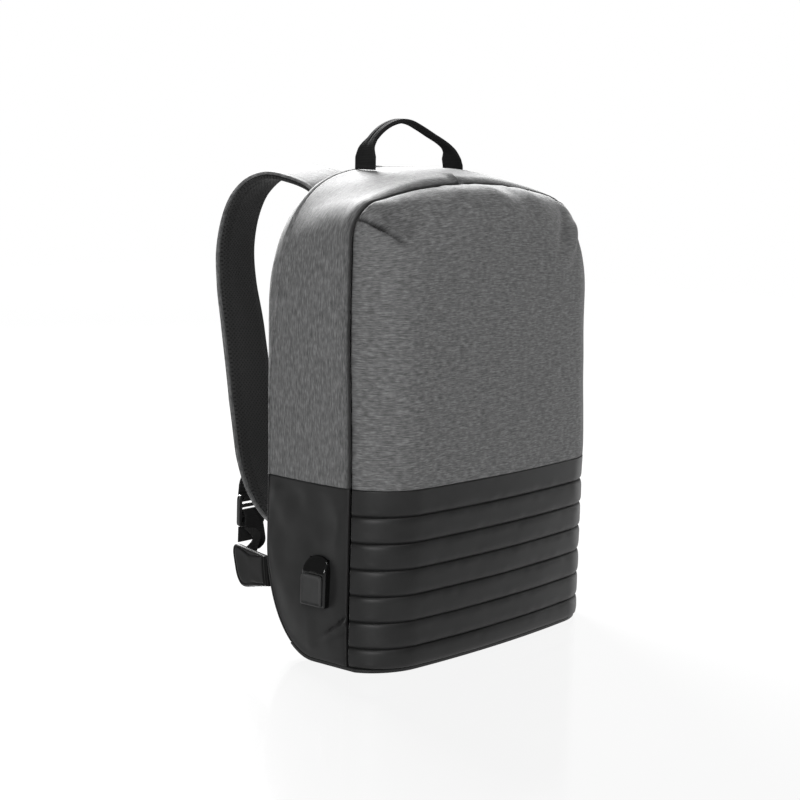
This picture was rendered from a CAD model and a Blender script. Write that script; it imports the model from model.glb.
"""City backpack with a smooth closed front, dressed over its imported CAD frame.

Sizes are real millimetres in the frame's axes: +Z up, front panel towards -Y, straps on +Y,
charging port on -X. Everything is scaled to metres when a mesh is made.
"""

import math

import bmesh
import bpy
import numpy as np
from mathutils import Matrix, Vector


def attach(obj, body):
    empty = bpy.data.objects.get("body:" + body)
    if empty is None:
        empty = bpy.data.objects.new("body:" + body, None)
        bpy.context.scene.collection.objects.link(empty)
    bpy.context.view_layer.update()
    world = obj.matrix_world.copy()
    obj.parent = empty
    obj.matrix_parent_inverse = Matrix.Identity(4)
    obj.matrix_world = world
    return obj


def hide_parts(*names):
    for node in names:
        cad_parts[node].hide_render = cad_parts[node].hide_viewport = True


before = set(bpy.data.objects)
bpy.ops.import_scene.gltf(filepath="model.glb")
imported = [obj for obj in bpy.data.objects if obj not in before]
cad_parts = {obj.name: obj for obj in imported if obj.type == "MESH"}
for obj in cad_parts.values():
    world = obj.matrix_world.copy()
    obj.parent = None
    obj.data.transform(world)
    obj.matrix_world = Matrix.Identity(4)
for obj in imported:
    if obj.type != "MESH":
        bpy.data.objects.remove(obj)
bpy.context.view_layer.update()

# Sizes of the bag, as in the solids
BAG_WIDTH = 338
BAG_DEPTH = 143
BAG_HEIGHT = 450
BOUNDARY_HEIGHT = 167
GAP = 0.3
FRONT_DEPTH = 39
FRONT_SIDE_RUN = 49
FRONT_TOP_RUN = 45
FRONT_TOP_RUN_CORNER = 155
FRONT_LEAN = 5
FRONT_CROWN = 10.5
FRONT_WALL = 6
BAND_COUNT = 7
BAND_PITCH = 24.1
GROOVE_DEPTH = 3.2
FOOT_SETBACK = 3.5
FOOT_RISE = 12
SEAM_HEIGHT = 437
CORNER_RADIUS = 31
ARCH_DROP = 22
BACK_SPREAD = 4
DOME_RISE = 125
DOME_POWER = 2.15
RIM_LINE_POWER = 3
CLOTH_WALL = 3
SEAM_VALLEY = 9
SEAM_VALLEY_SIDE = 5
RIM_WALL = 2.5
RIM_SETBACK_SIDE = 3
RIM_SETBACK_CORNER = 19
RIM_SETBACK_TOP = 10
RIM_INSET = 6
RIM_LINE_INSET = 1.5
BACK_WALL = 4.5
BACK_PADDING = 4
BACK_PADDING_RUN = 35
BASE_WALL = 3
BASE_REAR_EDGE = 38
SIDE_HEEL = (62, 105)
MIDDLE_HEEL = (24, 70)
STRAP_REACH = 135
STRAP_WIDTH = 60
STRAP_SHELL = 2.8
STRAP_PAD = 5
WEBBING_WIDTH = 25
WEBBING_THICKNESS = 1.8
LOCK_WIDTH = 36
LOCK_LENGTH = 32
LOCK_THICKNESS = 4
LOCK_BAR = 3.5
LOCK_DROP = 18
LOCK_SPREAD = 18.5
LOCK_FORWARD = 10
ADJUSTER_DROP = 15
TAIL_LENGTH = 16
WING_REACH = 78
WING_FOOT_REACH = 61
WING_ROOT_HEIGHT = 28
WING_END_HEIGHT = 42
WING_THICKNESS = 6
WING_TURN = 21
ADJUSTER_SEWN_INSET = 28
ADJUSTER_SEWN_LENGTH = 12
HANDLE_SPAN = 131
HANDLE_RISE = 47
HANDLE_BACK = 23.5
HANDLE_FOLDED = 12
HANDLE_THICKNESS = 2.5
HANDLE_FOLDED_THICKNESS = 4.6
PORT_WIDTH = 28
PORT_HEIGHT = 46
PORT_SILL = 55
PORT_STAND = 10
PORT_FORWARD = -1.5
PORT_EDGE = 1.5
COVER_HEIGHT = 29
COVER_FACE_DEPTH = 2.2

# Low relief of the front that only the mesh has, in millimetres
STRIP_EDGE = -167
STRIP_CREST_RUN = 26
STRIP_END = -104
STRIP_END_RUN = 37
STRIP_RISE = 2.8
SUNK_CORNER = (144, 424)
SUNK_REACH = 24
SUNK_DEPTH = 3.4

# Dart and folds at the top corners of the front: places across and up, in millimetres
DART_FROM = (-168, 431.5)
DART_TO = (-147, 410)
RIDGE_FROM = (-156, 423)
RIDGE_TO = (-128, 394.5)
SWEEP_FROM = (142, 417)
SWEEP_TO = (96, 372)

# Shares along the outlines, from the top middle to the boundary line
DOME_SHARE = 0.6
TOP_RUN_SHARE = 0.62
CORNER_SHARE = 0.8

HALF = BAG_WIDTH / 2
BACK_Y = BAG_DEPTH / 2
SEAM_Y = FRONT_DEPTH - BACK_Y
DOME_SPRING = BAG_HEIGHT - DOME_RISE
SEAM_EDGE = SEAM_Y + GAP / 2
LOWER_EDGE = BOUNDARY_HEIGHT - GAP / 2
UPPER_EDGE = BOUNDARY_HEIGHT + GAP / 2
FLOOR_GAP = BASE_WALL + GAP


# Numbers
def lerp(low, high, share):
    return low + (high - low) * share


def clip01(value):
    return np.clip(value, 0.0, 1.0)


def smooth(low, high, value):
    share = clip01((value - low) / (high - low))
    return share * share * (3 - 2 * share)


def bump(value, width):
    return np.exp(-((value / width) ** 2))


def soft_min(a, b, width):
    """The smaller of two values, rounded where they are within width of each other."""
    share = clip01(0.5 + 0.5 * (b - a) / width)
    return lerp(b, a, share) - width * share * (1 - share)


def noise(u, v, seed):
    """Smooth noise from -1 to 1 over plane coordinates, one cell per unit."""
    lattice = np.random.default_rng(seed).uniform(-1, 1, (64, 64))
    i = np.floor(u).astype(int)
    j = np.floor(v).astype(int)
    s = u - i
    t = v - j
    s = s * s * (3 - 2 * s)
    t = t * t * (3 - 2 * t)

    def at(di, dj):
        return lattice[(i + di) % 64, (j + dj) % 64]

    return lerp(lerp(at(0, 0), at(1, 0), s), lerp(at(0, 1), at(1, 1), s), t)


def unit(vectors):
    return vectors / np.maximum(np.linalg.norm(vectors, axis=-1, keepdims=True), 1e-9)


def stack(x, y, z):
    return np.stack(np.broadcast_arrays(x, y, z), -1).astype(float)


def grid_normals(points):
    """Normals of a grid of points, rows by columns, all on one side of it."""
    along = np.gradient(points, axis=1)
    across = np.gradient(points, axis=0)
    return unit(np.cross(along, across))


def lengths(points, axis):
    """Real length from the grid's first line to each point, along one axis, at its middle."""
    middle = points.shape[1 - axis] // 2
    line = points[:, middle] if axis == 0 else points[middle]
    steps = np.linalg.norm(np.diff(line, axis=0), axis=1)
    return np.concatenate([[0.0], np.cumsum(steps)])


def make_object(name, vertices, faces, uv, material, node):
    """A smooth-shaded object in metres, from millimetres, riding on the bag."""
    mesh = bpy.data.meshes.new(name)
    mesh.from_pydata((vertices * 0.001).tolist(), [], faces.tolist())
    layer = mesh.uv_layers.new(name="cloth")
    corners = np.empty(len(mesh.loops), dtype=np.int32)
    mesh.loops.foreach_get("vertex_index", corners)
    layer.uv.foreach_set("vector", (uv[corners] * 0.001).astype(np.float32).ravel())
    mesh.materials.append(material)
    mesh.validate()
    mesh.shade_smooth()
    mesh.set_sharp_from_angle(angle=math.radians(48))
    piece = bpy.data.objects.new(name, mesh)
    bpy.context.scene.collection.objects.link(piece)
    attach(piece, "root")
    # Blender numbers a name that the frame's own material has taken
    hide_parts(node)
    return piece


def quads(rows, columns, start=0, turned=False):
    i, j = np.meshgrid(np.arange(columns - 1), np.arange(rows - 1))
    corner = (start + j * columns + i).ravel()
    faces = np.stack([corner, corner + 1, corner + columns + 1, corner + columns], 1)
    return faces[:, ::-1] if turned else faces


def border(rows, columns):
    right = columns - 1
    top = rows - 1
    return np.concatenate([
        np.arange(right),
        np.arange(top) * columns + right,
        top * columns + right - np.arange(right),
        (top - np.arange(top)) * columns,
    ])


def sheet_faces(rows, columns, flip):
    """Faces of a closed sheet: outer grid, inner grid and the border between them."""
    edge = border(rows, columns)
    following = np.roll(edge, -1)
    inner = rows * columns
    rim = np.stack([edge, inner + edge, inner + following, following], 1)
    faces = np.concatenate([
        quads(rows, columns),
        quads(rows, columns, inner, turned=True),
        rim,
    ])
    return faces[:, ::-1] if flip else faces


def cloth_sheet(name, outer, base, wall, away, material, trim=None, uv=None):
    """A closed cloth wall: outer is its detailed face, base the plain face it is built on."""
    rows, columns = outer.shape[:2]
    normals = grid_normals(base)
    middle = base[rows // 2, columns // 2]
    side = np.sign(np.dot(normals[rows // 2, columns // 2], middle - np.array(away)))
    inner = base - normals * side * wall
    if trim is not None:
        inner = trim(inner)
    if uv is None:
        uv = np.stack(np.meshgrid(lengths(base, 1), lengths(base, 0)), -1)
    vertices = np.concatenate([outer.reshape(-1, 3), inner.reshape(-1, 3)])
    maps = np.concatenate([uv.reshape(-1, 2), uv.reshape(-1, 2)])
    faces = sheet_faces(rows, columns, side < 0)
    return make_object(name + "_cloth", vertices, faces, maps, material, name)


def creased(piece, share):
    """Marks how deep each outer grid point of a sheet lies in a seam or crease, from 0 to 1."""
    values = np.zeros(len(piece.data.vertices), dtype=np.float32)
    values[:share.size] = clip01(share).ravel()
    layer = piece.data.attributes.new("crease", "FLOAT", "POINT")
    layer.data.foreach_set("value", values)
    return piece


def raised(base, away, height):
    """The base grid moved along its normals, away from a point, by a height in millimetres."""
    normals = grid_normals(base)
    middle = (base.shape[0] // 2, base.shape[1] // 2)
    side = np.sign(np.dot(normals[middle], base[middle] - np.array(away)))
    return base + normals * (side * height)[..., None]


def loft(name, rings, material, node, uv_rings):
    """A closed body through rings of points, rings by points by 3, with flat ends."""
    count, size = rings.shape[:2]
    i, j = np.meshgrid(np.arange(size), np.arange(count - 1))
    a = (j * size + i).ravel()
    b = (j * size + (i + 1) % size).ravel()
    sides = np.stack([a, b, b + size, a + size], 1)
    faces = sides.tolist()
    faces.append(list(range(size))[::-1])
    faces.append(list(range((count - 1) * size, count * size)))
    vertices = rings.reshape(-1, 3)
    maps = uv_rings.reshape(-1, 2)
    mesh_faces = orient(vertices, faces)
    make_object(name, vertices, mesh_faces, maps, material, node)


class Faces(list):
    """Faces of different sizes, with the same call as an array."""

    def tolist(self):
        return list(self)


def orient(vertices, faces):
    """Turns all faces so that they point out of the closed body."""
    volume = 0.0
    for face in faces:
        p = vertices[face]
        for k in range(1, len(face) - 1):
            volume += np.dot(p[0], np.cross(p[k], p[k + 1]))
    return Faces(faces if volume > 0 else [face[::-1] for face in faces])


# Outlines seen from the front, for the half with x of 0 and more
def wall_x(height):
    """Half width of the back: a little wider above the boundary."""
    return HALF + BACK_SPREAD * smooth(BOUNDARY_HEIGHT, DOME_SPRING, height)


def lean(height):
    """How far the front seam leans back at a height."""
    return FRONT_LEAN * smooth(BOUNDARY_HEIGHT, DOME_SPRING, height)


def panel_edge(height):
    return SEAM_Y + lean(height) - GAP / 2


def wall_edge(height):
    return SEAM_Y + lean(height) + GAP / 2


REACH = float(wall_x(DOME_SPRING))


def arched(x, height):
    share = clip01((height - DOME_SPRING) / (SEAM_HEIGHT - DOME_SPRING))
    return height - ARCH_DROP * (x / HALF) ** 2 * share


def straight_height(around):
    return lerp(DOME_SPRING, BOUNDARY_HEIGHT, (around - DOME_SHARE) / (1 - DOME_SHARE))


def seam_outline(around):
    share = around / DOME_SHARE
    corner_x = HALF - CORNER_RADIUS
    corner_z = SEAM_HEIGHT - CORNER_RADIUS
    turn = np.pi / 2 * clip01((share - TOP_RUN_SHARE) / (CORNER_SHARE - TOP_RUN_SHARE))
    down = lerp(corner_z, DOME_SPRING, (share - CORNER_SHARE) / (1 - CORNER_SHARE))
    on_top = share < TOP_RUN_SHARE
    on_corner = share < CORNER_SHARE
    x = np.where(on_top, corner_x * share / TOP_RUN_SHARE, corner_x + CORNER_RADIUS * np.sin(turn))
    z = np.where(on_corner, corner_z + CORNER_RADIUS * np.cos(turn), down)
    height = straight_height(around)
    straight = around >= DOME_SHARE
    return np.where(straight, HALF, x), np.where(straight, height, arched(x, z))


def dome_outline(around, power, reach, rise):
    turn = np.pi / 2 * clip01(around / DOME_SHARE)
    height = straight_height(around)
    straight = around >= DOME_SHARE
    x = reach * np.sin(turn) ** (2 / power)
    z = DOME_SPRING + rise * np.clip(np.cos(turn), 0, 1) ** (2 / power)
    return np.where(straight, wall_x(height) - REACH + reach, x), np.where(straight, height, z)


def rim_line(around):
    return dome_outline(around, RIM_LINE_POWER, REACH - RIM_LINE_INSET, DOME_RISE)


def back_outline(around):
    return dome_outline(around, DOME_POWER, REACH - RIM_INSET, DOME_RISE - RIM_INSET)


def rim_setback(around):
    at_top = lerp(RIM_SETBACK_TOP, RIM_SETBACK_CORNER, smooth(0, 0.4, around))
    return lerp(at_top, RIM_SETBACK_SIDE, smooth(0.42, 0.85, around))


def even_turns(count, outline):
    """Turns from -1 to 1 with equal real steps along an outline."""
    fine = np.linspace(0, 1, 2001)
    x, z = outline(fine)
    run = np.concatenate([[0.0], np.cumsum(np.hypot(np.diff(x), np.diff(z)))])
    half = np.interp(np.linspace(0, run[-1], count + 1), run, fine)
    return np.concatenate([-half[::-1], half[1:]])


def heel(x):
    share = smooth(0.55, 0.95, np.abs(x) / HALF)
    return lerp(MIDDLE_HEEL[0], SIDE_HEEL[0], share), lerp(MIDDLE_HEEL[1], SIDE_HEEL[1], share)


def heel_point(run, rise, angle, inwards):
    out_y = rise * np.sin(angle)
    out_z = -run * np.cos(angle)
    size = np.hypot(out_y, out_z)
    y = BACK_Y - run + run * np.sin(angle) - inwards * out_y / size
    z = rise * (1 - np.cos(angle)) - inwards * out_z / size
    return y, z


def heel_angle(run, y):
    return np.arcsin(clip01((y - (BACK_Y - run)) / run))


# Front panels
def round_over(distance, run):
    return np.sqrt(1 - (1 - clip01(distance / run)) ** 2)


def front_depth(x, height):
    """Depth of the front in front of its seam, falling away softly to the top corners."""
    across = x / HALF
    side = round_over(HALF - np.abs(x), FRONT_SIDE_RUN)
    top_run = lerp(FRONT_TOP_RUN, FRONT_TOP_RUN_CORNER, across**2)
    top = round_over(SEAM_HEIGHT - height, top_run)
    return (FRONT_DEPTH + FRONT_CROWN * (1 - across**2)) * side * top


def corner_point(x, height):
    p = (np.abs(x) - (HALF - CORNER_RADIUS)) / CORNER_RADIUS
    q = (height - (SEAM_HEIGHT - CORNER_RADIUS)) / CORNER_RADIUS
    inside = (p > 0) & (q > 0)
    p = clip01(p)
    q = clip01(q)
    bent_x = np.sign(x) * (HALF - CORNER_RADIUS + CORNER_RADIUS * p * np.sqrt(1 - q * q / 2))
    bent_z = SEAM_HEIGHT - CORNER_RADIUS + CORNER_RADIUS * q * np.sqrt(1 - p * p / 2)
    return np.where(inside, bent_x, x), np.where(inside, bent_z, height)


def front_upper(x, height):
    px, pz = corner_point(x, height)
    return stack(px, panel_edge(height) - front_depth(x, height), arched(px, pz))


def rounded_shares(round_steps, flat_steps):
    """Shares across the front, close together where it rounds over to the side seams."""
    edge = FRONT_SIDE_RUN / BAG_WIDTH
    turn = np.linspace(0, np.pi / 2, round_steps + 1)
    near = edge * (1 - np.cos(turn))
    flat = np.linspace(edge, 1 - edge, flat_steps + 1)[1:-1]
    return np.concatenate([near, flat, (1 - near)[::-1]]) * 2 - 1


MIDDLE = (0, 0, BAG_HEIGHT / 2)
WALL_MIDDLE = (0, 0, 250)


# Materials
class Look:
    """A material with its nodes, built around one shader."""

    def __init__(self, name, roughness, specular=0.5):
        self.material = bpy.data.materials.new(name)
        self.material.use_nodes = True
        self.tree = self.material.node_tree
        self.shader = self.tree.nodes["Principled BSDF"]
        self.set("Roughness", roughness)
        self.set("Specular IOR Level", specular)
        self.uv = self.add("ShaderNodeUVMap", uv_map="cloth").outputs["UV"]

    def set(self, socket, value):
        self.shader.inputs[socket].default_value = value

    def add(self, kind, inputs=None, **settings):
        node = self.tree.nodes.new(kind)
        for key, value in settings.items():
            setattr(node, key, value)
        for key, value in (inputs or {}).items():
            if isinstance(value, bpy.types.NodeSocket):
                self.tree.links.new(value, node.inputs[key])
            else:
                node.inputs[key].default_value = value
        return node

    def math(self, operation, a, b=0.0, c=0.0):
        node = self.add("ShaderNodeMath", {0: a, 1: b, 2: c}, operation=operation)
        return node.outputs[0]

    def place(self, scale, turn=0.0):
        """The cloth's own coordinates times a scale, turned in the cloth's plane."""
        node = self.add("ShaderNodeMapping", {"Vector": self.uv})
        node.inputs["Rotation"].default_value[2] = turn
        node.inputs["Scale"].default_value = scale
        return node.outputs["Vector"]

    def noise(self, size_u, size_v, detail):
        """Noise whose grains are size_u by size_v millimetres."""
        scale = (1000 / size_u, 1000 / size_v, 1)
        settings = {"Vector": self.place(scale), "Scale": 1.0, "Detail": detail}
        return self.add("ShaderNodeTexNoise", settings, noise_dimensions="2D").outputs["Fac"]

    def ramp(self, value, stops):
        node = self.add("ShaderNodeValToRGB", {"Fac": value})
        elements = node.color_ramp.elements
        for position, color in stops[1:-1]:
            elements.new(position)
        for element, (position, color) in zip(elements, stops):
            element.position = position
            element.color = (*color, 1)
        return node.outputs["Color"]

    def waves(self, pitch, across=False):
        """Regular threads from 0 to 1, one each pitch millimetres, along u or across it."""
        split = self.add("ShaderNodeSeparateXYZ", {"Vector": self.uv})
        value = split.outputs["X" if across else "Y"]
        turned = self.math("SINE", self.math("MULTIPLY", value, 2 * math.pi * 1000 / pitch))
        return self.math("MULTIPLY_ADD", turned, 0.5, 0.5)

    def color(self, socket):
        """Sets the colour, darker where the cloth lies in a seam or crease."""
        crease = self.add("ShaderNodeAttribute", attribute_name="crease").outputs["Fac"]
        dark = self.add("ShaderNodeMix", data_type="RGBA")
        self.tree.links.new(self.math("MULTIPLY", crease, 0.85), dark.inputs["Factor"])
        self.tree.links.new(socket, dark.inputs["A"])
        dark.inputs["B"].default_value = (0.003, 0.003, 0.003, 1)
        self.tree.links.new(dark.outputs["Result"], self.shader.inputs["Base Color"])

    def roughness(self, value, low, high):
        node = self.add("ShaderNodeMapRange", {"Value": value, "To Min": low, "To Max": high})
        self.tree.links.new(node.outputs["Result"], self.shader.inputs["Roughness"])

    def bump(self, height, distance, strength=1.0):
        """Adds relief of a distance in millimetres over what is there already."""
        held = self.shader.inputs["Normal"]
        settings = {"Height": height, "Distance": distance * 0.001, "Strength": strength}
        if held.links:
            settings["Normal"] = held.links[0].from_socket
        node = self.add("ShaderNodeBump", settings)
        self.tree.links.new(node.outputs["Normal"], held)


def gray(level):
    return (level, level * 1.005, level * 1.01)


def heather(name, along_u=True):
    """Melange cloth: pale and dark threads that run along the cloth, over a fine weave."""
    look = Look(name, 0.85, 0.25)

    def threads(length, width, detail):
        size = (length, width) if along_u else (width, length)
        return look.noise(*size, detail)

    fine = threads(6, 0.6, 2.0)
    broad = threads(15, 1.2, 1.0)
    cloud = look.noise(6, 4, 3.0)
    mixed = look.math("ADD", look.math("MULTIPLY", fine, 0.42), look.math("MULTIPLY", broad, 0.3))
    mixed = look.math("ADD", mixed, look.math("MULTIPLY", cloud, 0.28))
    look.color(look.ramp(mixed, [
        (0.36, gray(0.047)),
        (0.5, gray(0.082)),
        (0.64, gray(0.134)),
    ]))
    look.roughness(cloud, 0.78, 0.92)
    look.set("Sheen Weight", 0.12)
    look.set("Sheen Roughness", 0.4)
    weave = look.math("MULTIPLY", look.waves(0.7), look.waves(0.7, across=True))
    look.bump(weave, 0.12, 0.5)
    look.bump(mixed, 0.35, 0.6)
    return look.material


def coated(name, level=1.0, specular=0.24, sheen=0.05):
    """Smooth coated cloth: fine pebbled grain and a low, uneven gloss."""
    look = Look(name, 0.5, specular)
    grain = look.noise(0.9, 0.9, 3.0)
    cloud = look.noise(38, 30, 3.0)
    look.color(look.ramp(cloud, [(0.35, gray(0.0065 * level)), (0.65, gray(0.0095 * level))]))
    look.roughness(cloud, 0.46, 0.56)
    look.set("Sheen Weight", sheen)
    look.set("Sheen Roughness", 0.35)
    look.bump(grain, 0.05, 0.4)
    return look.material


def air_mesh(name, pitch=3.2):
    """Spacer mesh: rows of small holes, set over each other in turn."""
    look = Look(name, 0.9, 0.2)
    place = look.place((1000 / pitch, 1000 / pitch, 1), math.radians(45))
    holes = look.add(
        "ShaderNodeTexVoronoi",
        {"Vector": place, "Scale": 1.0, "Randomness": 0.0},
        voronoi_dimensions="2D",
    ).outputs["Distance"]
    threads = look.noise(0.7, 0.7, 2.0)
    open_part = look.add(
        "ShaderNodeMapRange", {"Value": holes, "From Min": 0.16, "From Max": 0.36},
    ).outputs["Result"]
    shade = look.math("MULTIPLY", open_part, look.math("MULTIPLY_ADD", threads, 0.5, 0.6))
    look.color(look.ramp(shade, [(0.0, gray(0.002)), (1.0, gray(0.019))]))
    look.set("Sheen Weight", 0.05)
    look.bump(open_part, 0.5, 0.8)
    look.bump(threads, 0.1, 0.5)
    return look.material


def ribbed(name):
    """Webbing: ribs across the band, broken by the fine yarn of each."""
    look = Look(name, 0.9, 0.05)
    ribs = look.waves(1.5)
    yarn = look.waves(0.9, across=True)
    worn = look.noise(14, 14, 3.0)
    relief = look.math("MULTIPLY_ADD", yarn, 0.4, look.math("MULTIPLY", ribs, 0.6))
    shade = look.math("MULTIPLY_ADD", worn, 0.4, look.math("MULTIPLY", relief, 0.6))
    look.color(look.ramp(shade, [(0.1, gray(0.006)), (0.9, gray(0.017))]))
    look.bump(relief, 0.2, 0.5)
    return look.material


def moulded(name, level, roughness, grain, specular=0.5):
    """Moulded plastic or rubber: faint flow marks and a fine mould texture."""
    look = Look(name, roughness, specular)
    marks = look.noise(7, 9, 3.0)
    look.color(look.ramp(marks, [(0.3, gray(level * 0.85)), (0.7, gray(level * 1.15))]))
    look.roughness(marks, roughness * 0.85, roughness * 1.15)
    look.bump(look.noise(0.4, 0.4, 2.0), grain, 0.5)
    return look.material


HEATHER = heather("gray_heather_cloth")
HEATHER_STRAP = heather("gray_heather_strap", along_u=False)
COATED = coated("black_coated_cloth")
TAB = coated("black_tab_cloth", 0.4, 0.06, 0.0)
MESH = air_mesh("black_mesh_cloth")
WEBBING = ribbed("black_webbing")
PLASTIC = moulded("black_plastic", 0.009, 0.38, 0.02)
GLOSS = moulded("black_gloss_plastic", 0.002, 0.18, 0.0, 0.34)
RUBBER = moulded("black_rubber", 0.015, 0.46, 0.03, 0.3)


# How cloth turns in at its edges and puckers at its seams
def edge_distances(points):
    """Real distance of each grid point from the left, right, lower and upper border."""
    across = np.linalg.norm(np.diff(points, axis=1), axis=2)
    left = np.concatenate([np.zeros((points.shape[0], 1)), np.cumsum(across, axis=1)], axis=1)
    up = np.linalg.norm(np.diff(points, axis=0), axis=2)
    low = np.concatenate([np.zeros((1, points.shape[1])), np.cumsum(up, axis=0)], axis=0)
    return left, left[:, -1:] - left, low, low[-1:] - low


def turned_in(distance, radius):
    """Depth of a rounded edge: the radius at the edge itself and nothing past it."""
    left = 1 - clip01(distance / radius)
    return radius * (1 - np.sqrt(1 - left * left))


def near_edges(count, length, radius=1.5):
    """Shares from 0 to 1 with three extra lines inside each edge."""
    extra = np.array([0.12, 0.4, 0.8]) * radius / length
    inner = np.linspace(0, 1, count + 1)
    inner = inner[(inner > 1.6 * extra[-1]) & (inner < 1 - 1.6 * extra[-1])]
    return np.concatenate([[0.0], extra, inner, 1 - extra[::-1], [1.0]])


def seam_line(distance, offset, width, depth):
    """A stitched line: a narrow trough at an offset from the edge."""
    return -depth * bump(distance - offset, width)


# Front panel, upper half
def segment(x, height, start, end):
    """Share along a line on the front from 0 to 1, and the distance off it, over it positive."""
    ax, ay = start
    dx, dy = end[0] - ax, end[1] - ay
    length = math.hypot(dx, dy)
    along = ((x - ax) * dx + (height - ay) * dy) / length
    return along / length, ((height - ay) * dx - (x - ax) * dy) / length


def corner_folds(x, height):
    """The sewn dart and the soft folds at the two top corners: relief and dark."""
    along, off = segment(x, height, DART_FROM, DART_TO)
    sewn = smooth(-0.15, 0.02, along) * (1 - smooth(0.85, 1.15, along))
    relief = (1.2 * bump(off - 5, 3) - 3.4 * bump(off, 1.5)) * sewn
    dark = 0.9 * bump(off, 1.3) * sewn
    along, off = segment(x, height, RIDGE_FROM, RIDGE_TO)
    full = smooth(-0.15, 0.2, along) * (1 - smooth(0.8, 1.15, along))
    relief += (3.0 * bump(off, 2.1) - 3.2 * bump(off + 3.9, 1.9) - 0.9 * bump(off - 8, 6)) * full
    dark += 0.5 * bump(off + 3.4, 1.5) * full + 0.3 * bump(off - 12, 9) * full
    along, off = segment(x, height, SWEEP_FROM, SWEEP_TO)
    full = smooth(-0.2, 0.3, along) * (1 - smooth(0.75, 1.2, along))
    relief += (4.4 * bump(off, 8) - 3.2 * bump(off + 17, 8) - 2.2 * bump(off - 16, 8)) * full
    dark += 0.22 * bump(off + 15, 7) * full
    return relief, dark


def front_upper_piece():
    length = SEAM_HEIGHT - UPPER_EDGE
    top = FRONT_TOP_RUN / length
    turn = np.linspace(0, np.pi / 2, 46)[1:]
    rows = np.concatenate([np.linspace(0, 1 - top, 126), 1 - top + top * np.sin(turn)])
    rows = np.concatenate([[0, 0.15 / length, 0.6 / length], rows[1:]])
    height = lerp(UPPER_EDGE, SEAM_HEIGHT, rows)[:, None]
    x = HALF * rounded_shares(34, 120)[None, :] + 0 * height
    height = height + 0 * x
    base = front_upper(x, height)
    left, right, under, over = edge_distances(base)
    side = np.minimum(left, right)
    seam = np.minimum(side, over)
    pucker = noise(x / 9, height / 11, 3) * np.exp(-over / 10) * 0.8
    pucker += noise(height / 11, x / 40, 5) * np.exp(-side / 9) * 0.8
    sway = 0.8 * noise(x / 75, height / 60, 7) + 0.3 * noise(x / 24, height / 30, 9)
    sway += 2.2 * noise(x / 36, height / 55, 11) * smooth(330, 410, height)
    strip = soft_min(
        clip01((x - STRIP_EDGE) / STRIP_CREST_RUN), clip01((STRIP_END - x) / STRIP_END_RUN), 0.12,
    )
    sway += STRIP_RISE * strip * (1 - smooth(350, 405, height))
    calm = smooth(0, 25, np.minimum(over, side * 2)) * smooth(0, 12, under)
    folds, dark = corner_folds(x, height)
    sunk = np.hypot(x - SUNK_CORNER[0], height - SUNK_CORNER[1])
    folds -= SUNK_DEPTH * bump(sunk, SUNK_REACH)
    relief = folds * smooth(0, 4, seam)
    relief += pucker * smooth(0, 2.5, seam) + sway * calm
    relief -= turned_in(seam, 2.4) + turned_in(under, 0.9)
    outer = raised(base, MIDDLE, relief)

    def in_front(points):
        points[..., 1] = np.minimum(points[..., 1], panel_edge(points[..., 2]))
        points[..., 2] = np.maximum(points[..., 2], UPPER_EDGE)
        return points

    arc = lengths(base, 1)
    uv = np.stack([arc - arc[len(arc) // 2] + 0 * height, height], -1)
    piece = cloth_sheet("front_panel_upper", in_front(outer), base, FRONT_WALL, MIDDLE, HEATHER,
                        in_front, uv)
    return creased(piece, dark + bump(seam, 1.9) + 0.3 * bump(seam, 6))


front_upper_piece()


# Front panel, lower half, quilted in bands
def front_lower_piece():
    bottom = FLOOR_GAP + GAP
    heights = [LOWER_EDGE, LOWER_EDGE - 0.3, LOWER_EDGE - 0.8]
    within = [0.05, 0.09, 0.13, 0.2, 0.29, 0.4, 0.5, 0.6, 0.71, 0.8, 0.87, 0.91, 0.95, 0.98]
    for band in range(BAND_COUNT):
        top = BOUNDARY_HEIGHT - band * BAND_PITCH
        heights += [top - share * BAND_PITCH for share in (*within, 1, 1.02)]
    heights = sorted(h for h in heights if bottom + 0.2 < h)
    height = np.array([bottom] + heights)[:, None]
    share = rounded_shares(26, 84)[None, :]
    x = share * HALF + 0 * height
    height = height + 0 * x
    tuck = FOOT_SETBACK * clip01(1 - height / FOOT_RISE) ** 2
    side_share = round_over(HALF - np.abs(x), FRONT_SIDE_RUN)
    y = panel_edge(height) - front_depth(x, height) + tuck * side_share
    base = stack(x - np.sign(x) * tuck * (1 - side_share), y, height)
    left, right, under, over = edge_distances(base)
    side = np.minimum(left, right)
    bands = (BOUNDARY_HEIGHT - height) / BAND_PITCH
    band = np.minimum(np.floor(bands), BAND_COUNT - 1)
    place = clip01(bands - band)
    from_groove = np.minimum(place, 1 - place) * BAND_PITCH
    last = (band == BAND_COUNT - 1) & (place > 0.5)
    first = (band == 0) & (place < 0.5)
    quilt = -GROOVE_DEPTH * (0.72 * np.abs(2 * place - 1) ** 5 + 0.28 * bump(from_groove, 0.9))
    quilt = np.where(last | first, 0, quilt) * smooth(-1, 4, side)
    gather = noise(x / 11, bands * 2.2, 21) * bump(from_groove - 4, 4) * 0.35
    gather = np.where(last | first, 0.3, 1) * gather * smooth(4, 16, side)
    sag = noise(x / 60, bands * 1.3, 23) * 0.5 * smooth(4, 24, side)
    relief = quilt + gather + sag - turned_in(side, 2.6) - turned_in(over, 0.8)
    relief = relief - turned_in(under, 1.2)
    outer = raised(base, MIDDLE, relief)

    def in_front(points):
        points[..., 1] = np.minimum(points[..., 1], panel_edge(points[..., 2]))
        points[..., 2] = np.clip(points[..., 2], bottom, LOWER_EDGE)
        return points

    piece = cloth_sheet("front_panel_lower", in_front(outer), base, FRONT_WALL, MIDDLE, COATED,
                        in_front, None)
    groove = np.where(last | first, 0, 0.7 * bump(from_groove, 0.9))
    return creased(piece, groove + bump(side, 2.2))


front_lower_piece()


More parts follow.
